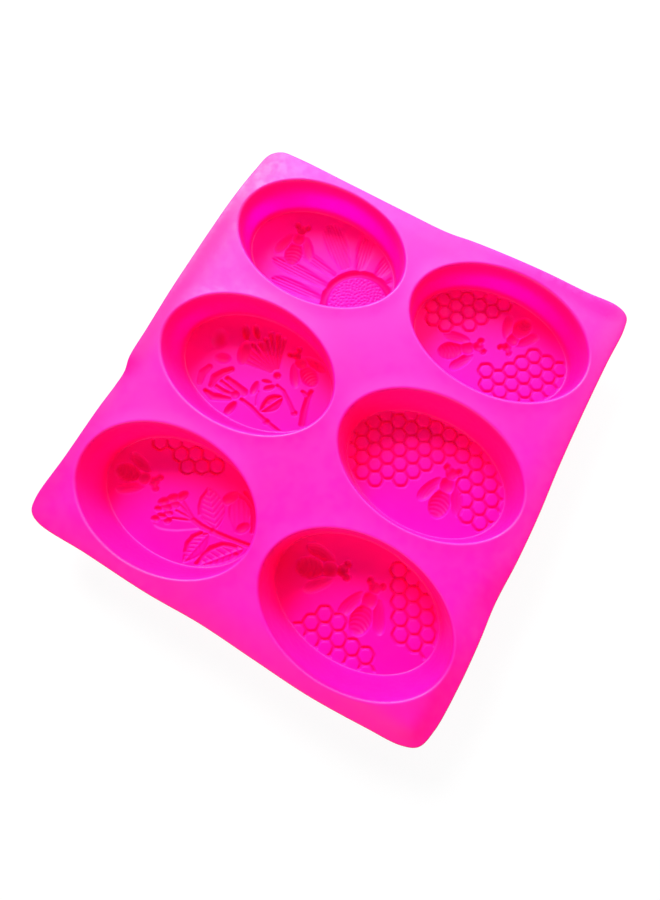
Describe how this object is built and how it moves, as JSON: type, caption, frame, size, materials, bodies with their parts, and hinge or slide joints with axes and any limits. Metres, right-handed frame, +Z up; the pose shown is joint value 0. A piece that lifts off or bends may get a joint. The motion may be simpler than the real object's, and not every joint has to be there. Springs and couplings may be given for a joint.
{
  "type": "silicone soap mould",
  "caption": "Flexible tray mould with oval pockets whose floors carry sunk bee, honeycomb and flower reliefs for casting soap.",
  "frame": {"origin": "on the surface the mould stands on, under the middle of its bounding box", "axes": "+Z up, out of the pockets' open tops; +X along the long axes of the ovals; +Y along the three rows, the way up in which the pictures read"},
  "size_m": [0.1853, 0.2009, 0.026],
  "materials": {
    "silicone_deck": "satin moulded silicone",
    "silicone_pockets": "satin moulded silicone",
    "silicone_reliefs": "satin moulded silicone"
  },
  "bodies": {
    "root": {"tray_deck": "silicone_deck", "pocket_wall_back_left": "silicone_pockets", "pocket_wall_back_right": "silicone_pockets", "pocket_wall_middle_left": "silicone_pockets", "pocket_wall_middle_right": "silicone_pockets", "pocket_wall_front_left": "silicone_pockets", "pocket_wall_front_right": "silicone_pockets", "relief_floor_back_left": "silicone_reliefs", "relief_floor_back_right": "silicone_reliefs", "relief_floor_middle_left": "silicone_reliefs", "relief_floor_middle_right": "silicone_reliefs", "relief_floor_front_left": "silicone_reliefs", "relief_floor_front_right": "silicone_reliefs"}
  },
  "joints": []
}
